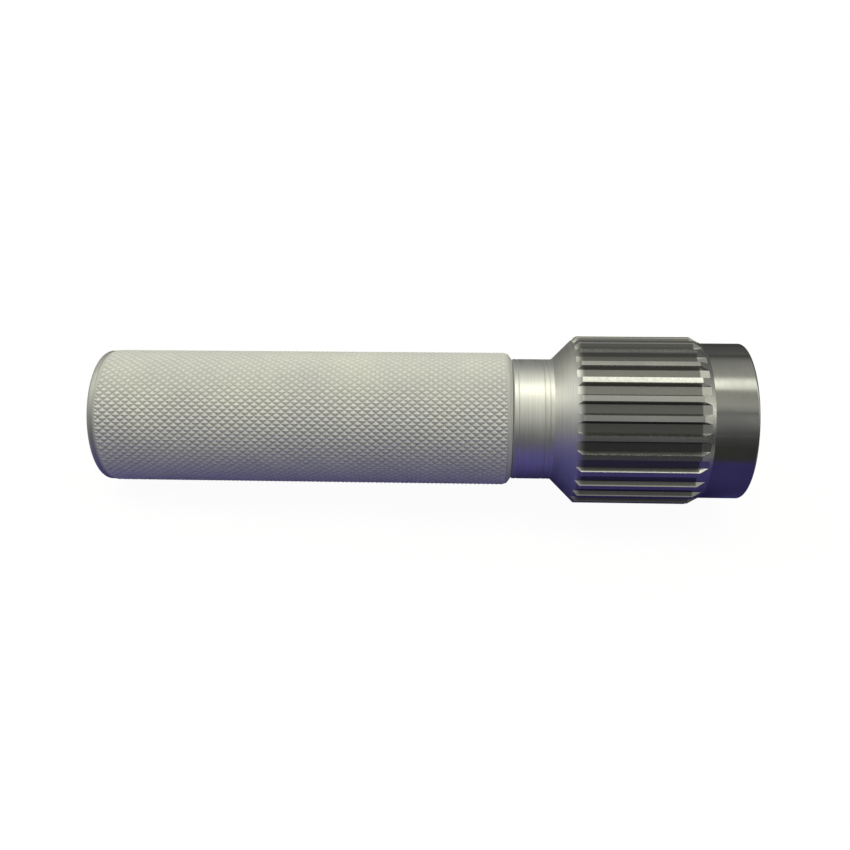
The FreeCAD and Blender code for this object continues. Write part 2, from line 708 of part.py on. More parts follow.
def make_face_seal():
    """The rubber ring in the sleeve's nose, which meets the drain valve's face."""
    corners = [
        ("nose_end - face_seal_depth", "face_seal_inner"),
        ("nose_end - face_seal_depth", "face_seal_outer"),
        ("nose_end", "face_seal_outer"),
        ("nose_end + face_seal_proud", "face_seal_outer - face_seal_taper"),
        ("nose_end + face_seal_proud", "face_seal_inner + face_seal_taper"),
        ("nose_end", "face_seal_inner"),
    ]
    place(turned("face_seal", corners))


def make_valve_spring():
    """The coil spring between the bridge and the piston's back face."""
    spring = new_body("valve_spring")
    section = new_sketch(spring, "spring_section")
    first_coil = "chamber_start + spider_thickness + spring_wire + slack"
    draw_circle(section, first_coil, "spring_mean", "spring_wire")
    coil = spring.newObject("PartDesign::AdditiveHelix", "spring_coil")
    coil.Profile = section
    coil.ReferenceAxis = (section, ["H_Axis"])
    coil.Mode = "pitch-height-angle"
    bind(coil, "Pitch", "spring_pitch")
    room = "piston_start - chamber_start - spider_thickness"
    bind(coil, "Height", room + " - spring_wire * 2 - slack * 2")
    document.recompute()
    place(spring)


# ---------------------------------------------------------------- vent
def make_vent_screw():
    """The slotted screw in the neck that lets air out while the cup fills."""
    head_start = "vent_seat + vent_washer"
    corners = [
        ("vent_tip", "0"),
        ("vent_tip", "vent_shank - edge_break"),
        ("vent_tip + edge_break", "vent_shank"),
        (head_start, "vent_shank"),
        (head_start, "vent_head"),
        (head_start + " + vent_head_height - vent_head_bevel", "vent_head"),
        (head_start + " + vent_head_height", "vent_head - vent_head_bevel"),
        (head_start + " + vent_head_height", "0"),
    ]
    screw = turned("vent_screw", corners)
    cut_thread(screw, "vent_thread", "vent_tip", "vent_shank", "vent_pitch", "vent_pitch / 2", 5)
    slot = new_sketch(screw, "vent_slot_outline")
    floor = head_start + " + vent_head_height - vent_slot_depth"
    outside = head_start + " + vent_head_height + vent_slot_depth"
    low = "-vent_slot_width / 2"
    high = "vent_slot_width / 2"
    draw_outline(slot, [(floor, low), (outside, low), (outside, high), (floor, high)])
    across_head = cut_pocket(screw, slot, "vent_slot")
    across_head.SideType = "Symmetric"
    document.recompute()
    place(screw, "vent_station", X_TO_Y)


def make_vent_seal():
    """The soft washer under the vent screw's head."""
    corners = [
        ("vent_seat", "vent_hole + slack"),
        ("vent_seat", "vent_head"),
        ("vent_seat + vent_washer", "vent_head"),
        ("vent_seat + vent_washer", "vent_hole + slack"),
    ]
    place(turned("vent_seal", corners), "vent_station", X_TO_Y)


# ---------------------------------------------------------------- assembly
make_barrel()
make_base_cap()
make_cup_cushion()
make_sample_cup()
make_cup_gasket()
make_head_body()
make_mouth_ring()
make_probe_spider()
make_valve_probe()
make_probe_nut()
make_lock_washer()
make_seal_sleeve()
make_guide_ring()
make_face_seal()
make_valve_spring()
make_vent_screw()
make_vent_seal()
ring_in_groove("base_cap_seal", "plug")
ring_in_groove("barrel_seal", "spigot")
ring_in_groove("mouth_ring_seal", "shank")
ring_in_groove("sleeve_seal", "piston")
round_ring("cup_buffer_ring", "buffer_station", "cup_radius + buffer_section + slack / 2", "buffer_section")
round_ring("probe_seal", SEAT_SEAL_STATION, "seat_seal_mean", "seat_seal_section")
snap_station = "chamber_start + spider_thickness + snap_wire"
snap_ring = round_ring("spider_snap_ring", snap_station, "chamber_radius + slack / 2", "snap_wire")
bind(snap_ring, "Angle3", "snap_sweep")
document.recompute()

# ---------------------------------------------------------------- checks and export
for item in document.Objects:
    if "Invalid" in item.State or "Error" in item.State:
        raise SystemExit("%s failed: %s" % (item.Name, item.State))
for piece in pieces:
    shape = piece.Shape
    if shape.isNull() or not shape.isValid() or len(shape.Solids) != 1:
        raise SystemExit("%s has no single valid solid" % piece.Label)
os.makedirs("parts", exist_ok=True)
for piece in pieces:
    piece.Shape.exportStep("parts/%s.step" % piece.Label)
    box = piece.Shape.BoundBox
    print("%-18s %8.1f mm3  x %7.2f %7.2f" % (piece.Label, piece.Shape.Volume, box.XMin, box.XMax))
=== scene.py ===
import math

import bmesh
import bpy
from mathutils import Euler, Matrix, Vector


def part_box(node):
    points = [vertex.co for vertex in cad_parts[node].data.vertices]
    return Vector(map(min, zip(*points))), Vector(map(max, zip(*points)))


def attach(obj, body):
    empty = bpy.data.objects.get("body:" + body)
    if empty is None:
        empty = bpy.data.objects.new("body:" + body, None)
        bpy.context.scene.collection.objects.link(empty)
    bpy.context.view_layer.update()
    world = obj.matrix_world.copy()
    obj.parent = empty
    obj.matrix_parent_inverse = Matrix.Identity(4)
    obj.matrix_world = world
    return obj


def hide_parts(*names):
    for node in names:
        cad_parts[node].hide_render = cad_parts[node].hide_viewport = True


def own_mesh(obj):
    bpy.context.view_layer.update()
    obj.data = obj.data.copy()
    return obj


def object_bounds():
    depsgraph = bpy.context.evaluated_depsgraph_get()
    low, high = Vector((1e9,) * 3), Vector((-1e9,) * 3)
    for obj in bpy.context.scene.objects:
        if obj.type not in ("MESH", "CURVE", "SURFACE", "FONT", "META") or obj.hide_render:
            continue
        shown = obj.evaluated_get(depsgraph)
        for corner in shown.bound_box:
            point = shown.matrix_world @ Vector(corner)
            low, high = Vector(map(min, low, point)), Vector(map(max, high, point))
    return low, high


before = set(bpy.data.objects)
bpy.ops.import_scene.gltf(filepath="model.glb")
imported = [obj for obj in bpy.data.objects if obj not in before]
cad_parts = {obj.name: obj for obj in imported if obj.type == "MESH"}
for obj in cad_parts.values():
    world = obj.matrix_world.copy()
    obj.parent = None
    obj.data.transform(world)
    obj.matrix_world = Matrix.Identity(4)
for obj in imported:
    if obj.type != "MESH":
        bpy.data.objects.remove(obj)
cad_low, cad_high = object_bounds()

MM = 0.001

# ---------------------------------------------------------------- places read from the frame
barrel_low, barrel_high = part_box("barrel")
head_low, head_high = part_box("head_body")
spring_low, spring_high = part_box("valve_spring")
spider_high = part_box("probe_spider")[1]

AXIS_Z = (head_low.z + head_high.z) / 2
BARREL_RADIUS = (barrel_high.z - barrel_low.z) / 2
HEAD_RADIUS = (head_high.z - head_low.z) / 2

# The flutes run from the end of the cone to the bevel at the head's mouth, measured from the spigot's end.
FLUTES_START = head_low.x + 25.7 * MM
FLUTES_END = head_low.x + 49.7 * MM

# ---------------------------------------------------------------- sizes of what is modelled here
KNURL_STARTS = 60
KNURL_DEPTH = 0.30 * MM
KNURL_AXIAL_PITCH = 1.89 * MM
KNURL_SPLIT = 4             # points to a pitch, both round the barrel and along it
KNURL_FLANK_RISE = 1.12     # a full sharp ridge would be 1.12 high
KNURL_CREST = 0.86          # and is dulled to this
BARREL_BORE = 12.1 * MM
BARREL_LAND = 0.25 * MM     # strip with no knurl at the closed end
BARREL_BEVEL_LENGTH = 1.0 * MM
BARREL_BEVEL_DEPTH = 1.35 * MM
BEVEL_STEP = 0.01 * MM      # the bevel starts this far below the knurl's valleys
BORE_LEAD = 0.3 * MM        # lead-in bevel of the bore
BORE_THREAD_START = 2.6 * MM
BORE_THREAD_PITCH = 1.0 * MM
BORE_THREAD_DEPTH = 0.35 * MM
BORE_THREAD_TURNS = 10
SPRING_WIRE = 0.5 * MM      # radius of the wire
SPRING_WIRE_CORNERS = 14
SPRING_STEPS = 64           # steps in each turn
SPRING_OPEN_TURNS = 3.6
SPRING_CLOSED_TURNS = 0.9   # at each end
SPRING_CLOSED_PITCH = 2.06  # wire radii, so that closed turns almost touch
SPRING_CLEARANCE = 1.1      # wire radii from the bridge to the middle of the first turn

# ---------------------------------------------------------------- how the metals were worked
ALONG_A_LINE = 0.012        # how slowly a lathe's line changes round the axis
POLISH_BEFORE = 1.2 * MM    # the polish fades in over the end of the cone
POLISH_AFTER = 0.8 * MM
TOOL_MARK_SHARE = 0.18      # how much darker the lathe's marks are on the satin part
RIDGE_DEPTH = 0.1 * MM      # this much of a ridge's top is as bright as its crest
HOLLOW_BELOW = 0.3 * MM     # and from here down the flute is rougher, and darkened with painted shade and grime


# ---------------------------------------------------------------- shader helpers
class Graph:
    """A material's node tree, with short ways to add and join nodes."""

    def __init__(self, name):
        self.material = bpy.data.materials.new(name)
        self.material.use_nodes = True
        self.nodes = self.material.node_tree.nodes
        self.links = self.material.node_tree.links
        self.shader = self.nodes["Principled BSDF"]

    def add(self, kind, **settings):
        """A node of this kind with its plain properties set."""
        item = self.nodes.new(kind)
        for key, setting in settings.items():
            setattr(item, key, setting)
        return item

    def feed(self, socket, source):
        """Give a socket a number, a colour or another node's output."""
        if isinstance(source, bpy.types.NodeSocket):
            self.links.new(source, socket)
        else:
            socket.default_value = source

    def place(self):
        """The point being shaded, in the row's frame."""
        return self.add("ShaderNodeTexCoord").outputs["Object"]

    def math(self, operation, first, second=0.0):
        """One arithmetic step."""
        item = self.add("ShaderNodeMath", operation=operation)
        self.feed(item.inputs[0], first)
        self.feed(item.inputs[1], second)
        return item.outputs[0]

    def vector(self, operation, first, second=None):
        """One vector step. Length is a value, the others are vectors."""
        item = self.add("ShaderNodeVectorMath", operation=operation)
        self.feed(item.inputs[0], first)
        if second is not None:
            self.feed(item.inputs[1], second)
        return item.outputs["Value" if operation == "LENGTH" else "Vector"]

    def spread(self, source, low, high, to_low=0.0, to_high=1.0):
        """Map a value's range smoothly to another one, held at both ends."""
        item = self.add("ShaderNodeMapRange", interpolation_type="SMOOTHSTEP")
        self.feed(item.inputs["Value"], source)
        for key, number in (("From Min", low), ("From Max", high), ("To Min", to_low), ("To Max", to_high)):
            item.inputs[key].default_value = number
        return item.outputs["Result"]

    def noise(self, where, scale, detail=3.0, roughness=0.55, dimensions="3D"):
        """Smooth noise between 0 and 1."""
        item = self.add("ShaderNodeTexNoise", noise_dimensions=dimensions)
        self.feed(item.inputs["W" if dimensions == "1D" else "Vector"], where)
        item.inputs["Scale"].default_value = scale
        item.inputs["Detail"].default_value = detail
        item.inputs["Roughness"].default_value = roughness
        return item.outputs["Fac"]

    def blend(self, factor, first, second):
        """A colour between two colours."""
        item = self.add("ShaderNodeMix", data_type="RGBA")
        self.feed(item.inputs["Factor"], factor)
        self.feed(item.inputs["A"], first)
        self.feed(item.inputs["B"], second)
        return item.outputs["Result"]

    def mix_values(self, factor, first, second):
        """A number between two numbers."""
        item = self.add("ShaderNodeMix", data_type="FLOAT")
        self.feed(item.inputs["Factor"], factor)
        self.feed(item.inputs["A"], first)
        self.feed(item.inputs["B"], second)
        return item.outputs["Result"]

    def coordinate(self, axis):
        """One coordinate of the point being shaded."""
        item = self.add("ShaderNodeSeparateXYZ")
        self.feed(item.inputs[0], self.place())
        return item.outputs[axis]

    def from_axis(self):
        """Distance of the point being shaded from the sampler's axis."""
        offset = self.vector("SUBTRACT", self.place(), (0.0, 0.0, AXIS_Z))
        across = self.vector("MULTIPLY", offset, (0.0, 1.0, 1.0))
        return self.vector("LENGTH", across)

    def turning_lines(self, fineness):
        """Lines left by a lathe tool: noise that changes along the axis and hardly round it."""
        stretched = self.vector("MULTIPLY", self.place(), (1.0, ALONG_A_LINE, ALONG_A_LINE))
        return self.noise(stretched, fineness, detail=4.0, roughness=0.7)

    def patches(self, scale):
        """Large soft patches, from 0 to 1."""
        return self.spread(self.noise(self.place(), scale), 0.35, 0.65)

    def grain(self, scale):
        """Fine even grain."""
        return self.noise(self.place(), scale, roughness=0.7)

    def rough_by(self, marks, low, high):
        """A roughness that follows noise from one value to another."""
        return self.spread(marks, 0.3, 0.7, low, high)

    def bump(self, height, strength, distance):
        """Feed the surface's normal from a height."""
        item = self.add("ShaderNodeBump")
        item.inputs["Strength"].default_value = strength
        item.inputs["Distance"].default_value = distance
        self.feed(item.inputs["Height"], height)
        self.feed(self.shader.inputs["Normal"], item.outputs["Normal"])

    def set(self, **sockets):
        """Fill the shader's sockets, named with underscores for spaces."""
        for key, source in sockets.items():
            self.feed(self.shader.inputs[key.replace("_", " ")], source)
        return self.material


def rgb(red, green, blue):
    """A colour with full alpha."""
    return (red, green, blue, 1.0)


# ---------------------------------------------------------------- colours of the metals
SATIN_WARM = rgb(0.89, 0.89, 0.84)
SATIN_COOL = rgb(0.83, 0.835, 0.82)
TURNED_WARM = rgb(0.85, 0.85, 0.80)
TURNED_COOL = rgb(0.80, 0.805, 0.79)
POLISHED = rgb(0.44, 0.44, 0.425)
POLISHED_DULL = rgb(0.39, 0.39, 0.38)
COLLAR_BRIGHT = rgb(0.31, 0.31, 0.30)
COLLAR_DULL = rgb(0.275, 0.275, 0.27)
# Flute hollows: painted shade and grime.
FLUTE_HOLLOW_SHADE_AND_GRIME = rgb(0.17, 0.17, 0.165)
# Knurl valleys: painted shade and dirt, darker than the crests.
KNURL_VALLEY_SHADE_AND_DIRT_COOL = rgb(0.68, 0.68, 0.665)
KNURL_VALLEY_SHADE_AND_DIRT_WARM = rgb(0.74, 0.74, 0.70)
TOOL_MARK = rgb(0.3, 0.3, 0.3)
FACED_DARK = rgb(0.50, 0.50, 0.50)
FACED_LIGHT = rgb(0.58, 0.58, 0.56)


# ---------------------------------------------------------------- materials
def knurled_aluminium():
    """Satin metal, darker in the knurl's valleys with painted shade and dirt, and rubbed brighter on its
    crests.
    """
    g = Graph("knurled_aluminium")
    crest = g.spread(g.from_axis(), BARREL_RADIUS - KNURL_DEPTH, BARREL_RADIUS)
    patches = g.patches(55.0)
    tone = g.blend(patches, SATIN_COOL, SATIN_WARM)
    # painted shade and dirt in the knurl's valleys, blended in by the distance from the axis
    valley_shade_and_dirt = g.blend(patches, KNURL_VALLEY_SHADE_AND_DIRT_COOL, KNURL_VALLEY_SHADE_AND_DIRT_WARM)
    colour = g.blend(crest, valley_shade_and_dirt, tone)
    grain = g.grain(4200.0)
    rub = g.math("MULTIPLY", crest, -0.12)
    rough = g.math("ADD", g.rough_by(grain, 0.72, 0.84), rub)
    g.bump(grain, 0.35, 0.03 * MM)
    return g.set(Base_Color=colour, Metallic=0.6, Roughness=rough)


def turned_aluminium():
    """The head: a satin turned neck and cone, then brightly polished flutes whose hollows are darkened with
    painted shade and grime.
    """
    g = Graph("turned_aluminium")
    along = g.coordinate("X")
    polished = g.spread(along, FLUTES_START - POLISH_BEFORE, FLUTES_START + POLISH_AFTER)
    lines = g.turning_lines(5200.0)
    fine = g.noise(g.place(), 1500.0, detail=4.0, roughness=0.7)
    patches = g.patches(70.0)
    satin_tone = g.blend(patches, TURNED_COOL, TURNED_WARM)
    in_a_line = g.blend(TOOL_MARK_SHARE, satin_tone, TOOL_MARK)
    marked = g.blend(g.spread(lines, 0.35, 0.65), in_a_line, satin_tone)
    # Flute hollows: darker from painted shade and grime, and rougher.
    below_ridge = g.spread(g.from_axis(), HEAD_RADIUS - HOLLOW_BELOW, HEAD_RADIUS - RIDGE_DEPTH, 1.0, 0.0)
    before_bevel = g.spread(along, FLUTES_END - HOLLOW_BELOW, FLUTES_END, 1.0, 0.0)
    hollow = g.math("MULTIPLY", below_ridge, before_bevel)
    bright_tone = g.blend(hollow, g.blend(patches, POLISHED_DULL, POLISHED), FLUTE_HOLLOW_SHADE_AND_GRIME)
    colour = g.blend(polished, marked, bright_tone)
    satin = g.rough_by(lines, 0.37, 0.48)
    bright = g.math("ADD", g.rough_by(fine, 0.20, 0.30), g.math("MULTIPLY", hollow, 0.16))
    rough = g.mix_values(polished, satin, bright)
    g.bump(lines, 0.2, 0.02 * MM)
    return g.set(Base_Color=colour, Metallic=1.0, Roughness=rough)


def polished_collar():
    """A mirror-like turned collar with hairline marks."""
    g = Graph("polished_collar")
    lines = g.turning_lines(6500.0)
    smudges = g.spread(g.noise(g.place(), 160.0, detail=4.0), 0.4, 0.7)
    rough = g.math("ADD", g.spread(lines, 0.35, 0.7, 0.10, 0.16), g.math("MULTIPLY", smudges, 0.06))
    colour = g.blend(smudges, COLLAR_BRIGHT, COLLAR_DULL)
    g.bump(lines, 0.12, 0.01 * MM)
    return g.set(Base_Color=colour, Metallic=1.0, Roughness=rough)


def faced_aluminium():
    """The base cap, faced on a lathe: rings about the axis on its flat."""
    g = Graph("faced_aluminium")
    rings = g.noise(g.from_axis(), 5200.0, detail=4.0, roughness=0.7, dimensions="1D")
    grain = g.grain(2600.0)
    patches = g.patches(90.0)
    colour = g.blend(patches, FACED_DARK, FACED_LIGHT)
    rough = g.math("ADD", g.rough_by(rings, 0.52, 0.64), g.math("MULTIPLY", grain, 0.06))
    g.bump(rings, 0.3, 0.02 * MM)
    return g.set(Base_Color=colour, Metallic=1.0, Roughness=rough)


def stainless(name, low, high, tint):
    """Bright turned stainless steel."""
    g = Graph(name)
    lines = g.turning_lines(6000.0)
    patches = g.noise(g.place(), 240.0)
    shaded = rgb(tint[0] * 0.86, tint[1] * 0.87, tint[2] * 0.9)
    colour = g.blend(patches, tint, shaded)
    g.bump(lines, 0.2, 0.02 * MM)
    return g.set(Base_Color=colour, Metallic=1.0, Roughness=g.rough_by(lines, low, high))


def rubber(name, shade):
    """Matte black nitrile with a fine moulded grain and a little dust."""
    g = Graph(name)
    grain = g.noise(g.place(), 5200.0, detail=4.0, roughness=0.7)
    dust = g.spread(g.noise(g.place(), 420.0, detail=4.0), 0.5, 0.75)
    clean = rgb(shade, shade, shade * 1.05)
    dusty = rgb(shade * 2.2, shade * 2.2, shade * 2.1)
    colour = g.blend(dust, clean, dusty)
    g.bump(grain, 0.4, 0.04 * MM)
    return g.set(Base_Color=colour, Roughness=g.rough_by(grain, 0.55, 0.8))


def slippery_plastic():
    """White, waxy PTFE, a little yellowed in places."""
    g = Graph("slippery_plastic")
    stain = g.spread(g.noise(g.place(), 380.0), 0.4, 0.7)
    grain = g.noise(g.place(), 3600.0)
    colour = g.blend(stain, rgb(0.84, 0.83, 0.79), rgb(0.74, 0.71, 0.62))
    g.bump(grain, 0.2, 0.02 * MM)
    return g.set(Base_Color=colour, Roughness=g.rough_by(grain, 0.38, 0.5))


def clear_plastic():
    """The sample cup's clear moulded plastic, with faint handling marks."""
    g = Graph("clear_plastic")
    marks = g.noise(g.place(), 900.0, detail=4.0, roughness=0.7)
    tint = g.blend(g.noise(g.place(), 60.0), rgb(0.93, 0.97, 0.97), rgb(0.88, 0.95, 0.95))
    g.bump(marks, 0.05, 0.01 * MM)
    g.set(Base_Color=tint, Roughness=g.spread(marks, 0.4, 0.7, 0.02, 0.10))
    return g.set(Transmission_Weight=1.0, IOR=1.58)


MATERIALS = {
    "turned_aluminium": turned_aluminium(),
    "polished_collar": polished_collar(),
    "faced_aluminium": faced_aluminium(),
    "knurled_aluminium": knurled_aluminium(),
    "stainless": stainless("stainless", 0.14, 0.26, rgb(0.66, 0.665, 0.66)),
    "spring_steel": stainless("spring_steel", 0.2, 0.34, rgb(0.56, 0.565, 0.57)),
    "seal_rubber": rubber("seal_rubber", 0.018),
    "cushion_rubber": rubber("cushion_rubber", 0.035),
    "slippery_plastic": slippery_plastic(),
    "clear_plastic": clear_plastic(),
}

NODE_MATERIALS = {
    "base_cap": "faced_aluminium",
    "head_body": "turned_aluminium",
    "mouth_ring": "polished_collar",
    "sample_cup": "clear_plastic",
    "cup_cushion": "cushion_rubber",
    "probe_spider": "stainless",
    "valve_probe": "stainless",
    "probe_nut": "stainless",
    "seal_sleeve": "stainless",
    "vent_screw": "stainless",
    "spider_snap_ring": "spring_steel",
    "probe_lock_washer": "spring_steel",
    "guide_ring": "slippery_plastic",
    "vent_seal": "slippery_plastic",
    "base_cap_seal": "seal_rubber",
    "cup_gasket": "seal_rubber",
    "cup_buffer_ring": "seal_rubber",
    "mouth_ring_seal": "seal_rubber",
    "barrel_seal": "seal_rubber",
    "probe_seal": "seal_rubber",
    "sleeve_seal": "seal_rubber",
    "face_seal": "seal_rubber",
}
for node_name, material_name in NODE_MATERIALS.items():
    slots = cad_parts[node_name].material_slots
    for material_slot in slots:
        material_slot.material = MATERIALS[material_name]


# ---------------------------------------------------------------- meshes
def ring_of(count, x, radius_at):
    """Points round the axis at one station, with a radius for each."""
    points = []
    for column in range(count):
        angle = 2 * math.pi * column / count
        radius = radius_at(column)
        points.append((x, radius * math.cos(angle), AXIS_Z + radius * math.sin(angle)))
    return points


def mesh_object(name, points, faces, material):
    """A closed mesh with its faces turned outwards."""
    data = bpy.data.meshes.new(name)
    data.from_pydata(points, [], faces)
    work = bmesh.new()
    work.from_mesh(data)
    bmesh.ops.recalc_face_normals(work, faces=work.faces)
    work.to_mesh(data)
    work.free()
    data.materials.append(MATERIALS[material])
    piece = bpy.data.objects.new(name, data)
    bpy.context.scene.collection.objects.link(piece)
    return piece


def make_knurled_barrel():
    """The grip tube with a true diamond knurl: two crossing families of V grooves.

    Each pitch is split in four both ways, so every diamond is a little pyramid with a dulled crest.
    The outline goes along the outside, over the bevel, and back through the threaded bore.
    """
    columns = KNURL_STARTS * KNURL_SPLIT
    start = barrel_low.x + BARREL_LAND
    finish = barrel_high.x - BARREL_BEVEL_LENGTH
    half_pitches = round((finish - start) / (KNURL_AXIAL_PITCH / 2))
    rows = half_pitches * KNURL_SPLIT // 2
    valley = BARREL_RADIUS - KNURL_DEPTH

    def groove(position):
        """0 in the bottom of a V groove and 1 half way to the next."""
        return 1 - 2 * abs(position - math.floor(position) - 0.5)

    def knurled(row, column):
        """The radius at one point of the lattice."""
        round_part = column / KNURL_SPLIT
        along_part = row / KNURL_SPLIT
        ridge = min(groove(round_part + along_part), groove(round_part - along_part))
        height = min(ridge * KNURL_FLANK_RISE, KNURL_CREST)
        return valley + KNURL_DEPTH / KNURL_CREST * height

    points = ring_of(columns, barrel_low.x, lambda column: valley)
    for row in range(rows + 1):
        x = start + (finish - start) * row / rows
        at_an_end = row in (0, rows)
        points += ring_of(columns, x, lambda column: valley if at_an_end else knurled(row, column))

    bevel_slope = BARREL_BEVEL_DEPTH / BARREL_BEVEL_LENGTH
    thread_x = barrel_high.x - BORE_THREAD_START
    plain_rings = [
        (finish + KNURL_DEPTH / bevel_slope, valley - BEVEL_STEP),
        (barrel_high.x, BARREL_RADIUS - BARREL_BEVEL_DEPTH),
        (barrel_high.x, BARREL_BORE + BORE_LEAD),
        (barrel_high.x - BORE_LEAD, BARREL_BORE),
        (thread_x, BARREL_BORE),
    ]
    for turn in range(BORE_THREAD_TURNS):
        middle = thread_x - (turn + 0.5) * BORE_THREAD_PITCH
        plain_rings.append((middle, BARREL_BORE + BORE_THREAD_DEPTH))
        plain_rings.append((middle - 0.5 * BORE_THREAD_PITCH, BARREL_BORE))
    plain_rings.append((barrel_low.x, BARREL_BORE))
    for x, radius in plain_rings:
        points += ring_of(columns, x, lambda column: radius)
    faces = []
    count = len(points) // columns
    for ring in range(count):
        after = (ring + 1) % count
        for column in range(columns):
            beside = (column + 1) % columns
            a = ring * columns + column
            b = ring * columns + beside
            c = after * columns + beside
            d = after * columns + column
            lattice = 2 <= ring <= rows
            if not lattice:
                faces.append((a, b, c, d))
            elif ((ring - 1) // 2 + column // 2) % 2 == 0:
                faces += [(a, b, c), (a, c, d)]
            else:
                faces += [(a, b, d), (b, c, d)]
    piece = mesh_object("knurled_barrel", points, faces, "knurled_aluminium")
    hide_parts("barrel")
    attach(piece, "barrel")


def make_coil_spring():
    """The valve spring, with closed end coils."""
    mean = (spring_high.z - spring_low.z) / 2 - SPRING_WIRE
    first = spider_high.x + SPRING_WIRE * SPRING_CLEARANCE
    last = spring_high.x - SPRING_WIRE
    turns = SPRING_OPEN_TURNS + 2 * SPRING_CLOSED_TURNS
    closed_rise = SPRING_CLOSED_TURNS * SPRING_WIRE * SPRING_CLOSED_PITCH
    around = SPRING_WIRE_CORNERS
    steps = round(turns * SPRING_STEPS)
    points = []
    for step in range(steps + 1):
        turn = turns * step / steps
        if turn < SPRING_CLOSED_TURNS:
            x = first + closed_rise * turn / SPRING_CLOSED_TURNS
        elif turn > turns - SPRING_CLOSED_TURNS:
            x = last - closed_rise * (turns - turn) / SPRING_CLOSED_TURNS
        else:
            share = (turn - SPRING_CLOSED_TURNS) / SPRING_OPEN_TURNS
            x = first + closed_rise + (last - first - 2 * closed_rise) * share
        angle = 2 * math.pi * turn
        outward = Vector((0, math.cos(angle), math.sin(angle)))
        centre = Vector((x, 0, AXIS_Z)) + outward * mean
        for corner in range(around):
            bend = 2 * math.pi * corner / around
            offset = outward * math.cos(bend) + Vector((1, 0, 0)) * math.sin(bend)
            points.append(centre + offset * SPRING_WIRE)
    faces = []
    for step in range(steps):
        for corner in range(around):
            beside = (corner + 1) % around
            a = step * around + corner
            b = step * around + beside
            faces.append((a, b, b + around, a + around))
    faces.append(tuple(range(around)))
    faces.append(tuple(steps * around + corner for corner in range(around)))
    piece = mesh_object("coil_spring", points, faces, "spring_steel")
    piece.data.shade_smooth()
    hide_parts("valve_spring")
    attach(piece, "head")
    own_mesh(piece)


make_knurled_barrel()
make_coil_spring()


# ---------------------------------------------------------------- camera
CAMERA_ELEVATION = math.radians(36.6)
CAMERA_YAW = math.radians(2.54)
CAMERA_ROLL = math.radians(0.63)
CAMERA_DISTANCE = 0.2034
CAMERA_LENS = 38.96
CAMERA_SENSOR = 36
CAMERA_NEAREST = 0.01
AIM_ALONG = 1.3 * MM
AIM_BELOW = 1.6 * MM


def make_camera():
    """A camera above the near side, with the mouth a little closer than the base."""
    data = bpy.data.cameras.new("camera")
    data.lens = CAMERA_LENS
    data.sensor_width = CAMERA_SENSOR
    data.clip_start = CAMERA_NEAREST
    camera = bpy.data.objects.new("camera", data)
    bpy.context.scene.collection.objects.link(camera)
    forward = Vector((
        -math.sin(CAMERA_YAW),
        math.cos(CAMERA_YAW) * math.cos(CAMERA_ELEVATION),
        -math.cos(CAMERA_YAW) * math.sin(CAMERA_ELEVATION),
    ))
    level = (Vector((1, 0, 0)) - forward * forward.x).normalized()
    below = forward.cross(level)
    right = level * math.cos(CAMERA_ROLL) - below * math.sin(CAMERA_ROLL)
    down = level * math.sin(CAMERA_ROLL) + below * math.cos(CAMERA_ROLL)
    aim = Vector((AIM_ALONG, 0, AXIS_Z)) + down * AIM_BELOW
    turn = Matrix((right, -down, -forward)).transposed().to_4x4()
    camera.matrix_world = Matrix.Translation(aim - forward * CAMERA_DISTANCE) @ turn
    bpy.context.scene.camera = camera


make_camera()


# ---------------------------------------------------------------- stage
FLOOR_GLOW = 0.955
FLOOR_TONE = rgb(0.045, 0.045, 0.044)
FLOOR_SEEN_BY_METAL = rgb(0.105, 0.09, 0.36)
FLOOR_PAST_SIDES = rgb(0.10, 0.10, 0.105)
FLOOR_PAST_ENDS = rgb(0.42, 0.42, 0.41)
VIOLET_ENDS_FROM = cad_high.x + 15 * MM
VIOLET_ENDS_TO = cad_high.x + 60 * MM
VIOLET_SIDES_FROM = 52 * MM
VIOLET_SIDES_TO = 74 * MM
FLOOR_HALF = 3.0            # metres
FLOOR_GAP = 0.05 * MM       # keeps the floor clear of the lowest ridge


def make_floor():
    """A pale table that carries the head's lowest ridge and the barrel's lower edge.

    Seen directly it is near white. What the metal sees of it is a dusky violet patch under the object,
    dark grey further to the sides and lighter grey past the ends.
    """
    barrel_edge = Vector((barrel_low.x, 0, AXIS_Z - BARREL_RADIUS))
    slope = math.atan2(barrel_edge.z - head_low.z, FLUTES_START - barrel_edge.x)
    data = bpy.data.meshes.new("floor")
    corners = [(x * FLOOR_HALF, y * FLOOR_HALF, 0) for x, y in ((-1, -1), (1, -1), (1, 1), (-1, 1))]
    data.from_pydata(corners, [], [(0, 1, 2, 3)])
    floor = bpy.data.objects.new("floor", data)
    bpy.context.scene.collection.objects.link(floor)
    floor.rotation_euler = Euler((0, slope, 0))
    floor.location = (0, 0, head_low.z - FLOOR_GAP + FLUTES_START * math.tan(slope))
    g = Graph("pale_floor")
    g.set(Base_Color=FLOOR_TONE, Roughness=0.9)
    g.set(Emission_Color=rgb(1.0, 1.0, 1.0), Emission_Strength=FLOOR_GLOW)
    violet = g.add("ShaderNodeBsdfDiffuse")
    past_sides = g.spread(g.math("ABSOLUTE", g.coordinate("Y")), VIOLET_SIDES_FROM, VIOLET_SIDES_TO)
    past_ends = g.spread(g.math("ABSOLUTE", g.coordinate("X")), VIOLET_ENDS_FROM, VIOLET_ENDS_TO)
    middle = g.blend(past_ends, FLOOR_SEEN_BY_METAL, FLOOR_PAST_ENDS)
    g.feed(violet.inputs["Color"], g.blend(past_sides, middle, FLOOR_PAST_SIDES))
    path = g.add("ShaderNodeLightPath")
    choose = g.add("ShaderNodeMixShader")
    g.feed(choose.inputs[0], path.outputs["Is Camera Ray"])
    g.feed(choose.inputs[1], violet.outputs[0])
    g.feed(choose.inputs[2], g.shader.outputs[0])
    g.feed(g.nodes["Material Output"].inputs["Surface"], choose.outputs[0])
    data.materials.append(g.material)


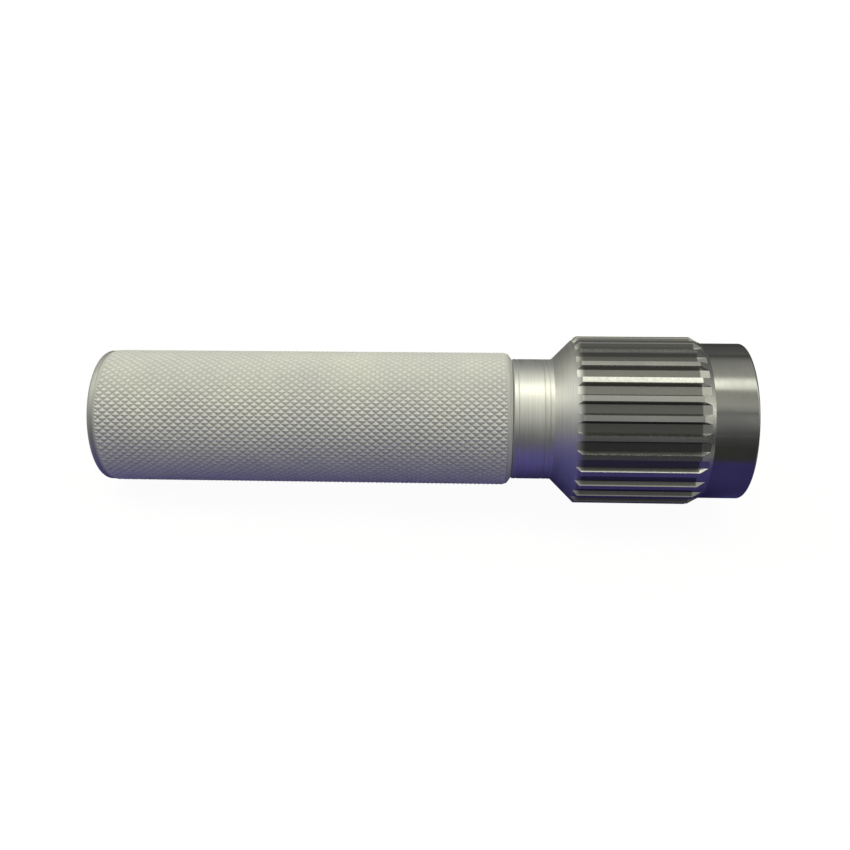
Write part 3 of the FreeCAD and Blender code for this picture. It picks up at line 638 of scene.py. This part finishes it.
# Light from the room, by the angle up from the camera's side, over the top and down behind:
# degrees, brightness and how warm it is. A long soft light hangs almost overhead, and thin
# dark and bright lines stand for the edges of walls and furniture.
ROOM = [
    (0, 0.10, 0.0),
    (13.5, 0.14, 0.0),
    (15.5, 0.25, 0.0),
    (17.5, 0.16, 0.0),
    (25, 0.28, 0.1),
    (36, 0.46, 0.3),
    (44, 0.50, 0.5),
    (48, 0.46, 0.5),
    (50, 0.24, 0.3),
    (53, 0.60, 0.6),
    (62, 0.78, 0.8),
    (74, 0.72, 1.0),
    (83, 0.66, 1.0),
    (87.5, 2.2, 1.0),
    (94, 2.9, 1.0),
    (100, 2.6, 1.0),
    (105, 0.8, 1.0),
    (122, 0.66, 0.8),
    (134, 0.56, 0.6),
    (143, 0.28, 0.4),
    (147, 0.07, 0.3),
    (151, 0.24, 0.3),
    (167, 0.17, 0.2),
    (180, 0.12, 0.0),
]
ROOM_STRENGTH = 4.0
ROOM_YAW = math.radians(10)
WARM_BLUE_LOSS = 0.13


def make_world():
    """A dim room that the metal reflects, and a white backdrop where the camera looks past the floor.

    The room's light changes with the angle about a level line, which lies nearly along the sampler.
    """
    world = bpy.data.worlds.new("room")
    bpy.context.scene.world = world
    world.use_nodes = True
    nodes = world.node_tree.nodes
    links = world.node_tree.links
    where = nodes.new("ShaderNodeTexCoord")
    parts = nodes.new("ShaderNodeSeparateXYZ")
    links.new(where.outputs["Generated"], parts.inputs[0])
    near = nodes.new("ShaderNodeVectorMath")
    near.operation = "DOT_PRODUCT"
    near.inputs[1].default_value = (-math.sin(ROOM_YAW), -math.cos(ROOM_YAW), 0.0)
    links.new(where.outputs["Generated"], near.inputs[0])
    angle = nodes.new("ShaderNodeMath")
    angle.operation = "ARCTAN2"
    links.new(parts.outputs["Z"], angle.inputs[0])
    links.new(near.outputs["Value"], angle.inputs[1])
    share = nodes.new("ShaderNodeMath")
    share.operation = "DIVIDE"
    share.inputs[1].default_value = 2 * math.pi
    links.new(angle.outputs[0], share.inputs[0])
    ramp = nodes.new("ShaderNodeValToRGB")
    stops = ramp.color_ramp.elements
    stops.remove(stops[-1])
    for number, (degrees, brightness, warmth) in enumerate(ROOM):
        stop = stops[0] if number == 0 else stops.new(degrees / 360)
        level = brightness / ROOM_STRENGTH
        stop.position = degrees / 360
        stop.color = rgb(level, level, level * (1 - WARM_BLUE_LOSS * warmth))
    links.new(share.outputs[0], ramp.inputs[0])
    path = nodes.new("ShaderNodeLightPath")
    mix = nodes.new("ShaderNodeMix")
    mix.data_type = "RGBA"
    mix.inputs["B"].default_value = rgb(1 / ROOM_STRENGTH, 1 / ROOM_STRENGTH, 1 / ROOM_STRENGTH)
    links.new(path.outputs["Is Camera Ray"], mix.inputs["Factor"])
    links.new(ramp.outputs["Color"], mix.inputs["A"])
    links.new(mix.outputs["Result"], nodes["Background"].inputs["Color"])
    nodes["Background"].inputs["Strength"].default_value = ROOM_STRENGTH


make_floor()
make_world()
bpy.context.scene.view_settings.view_transform = "Standard"
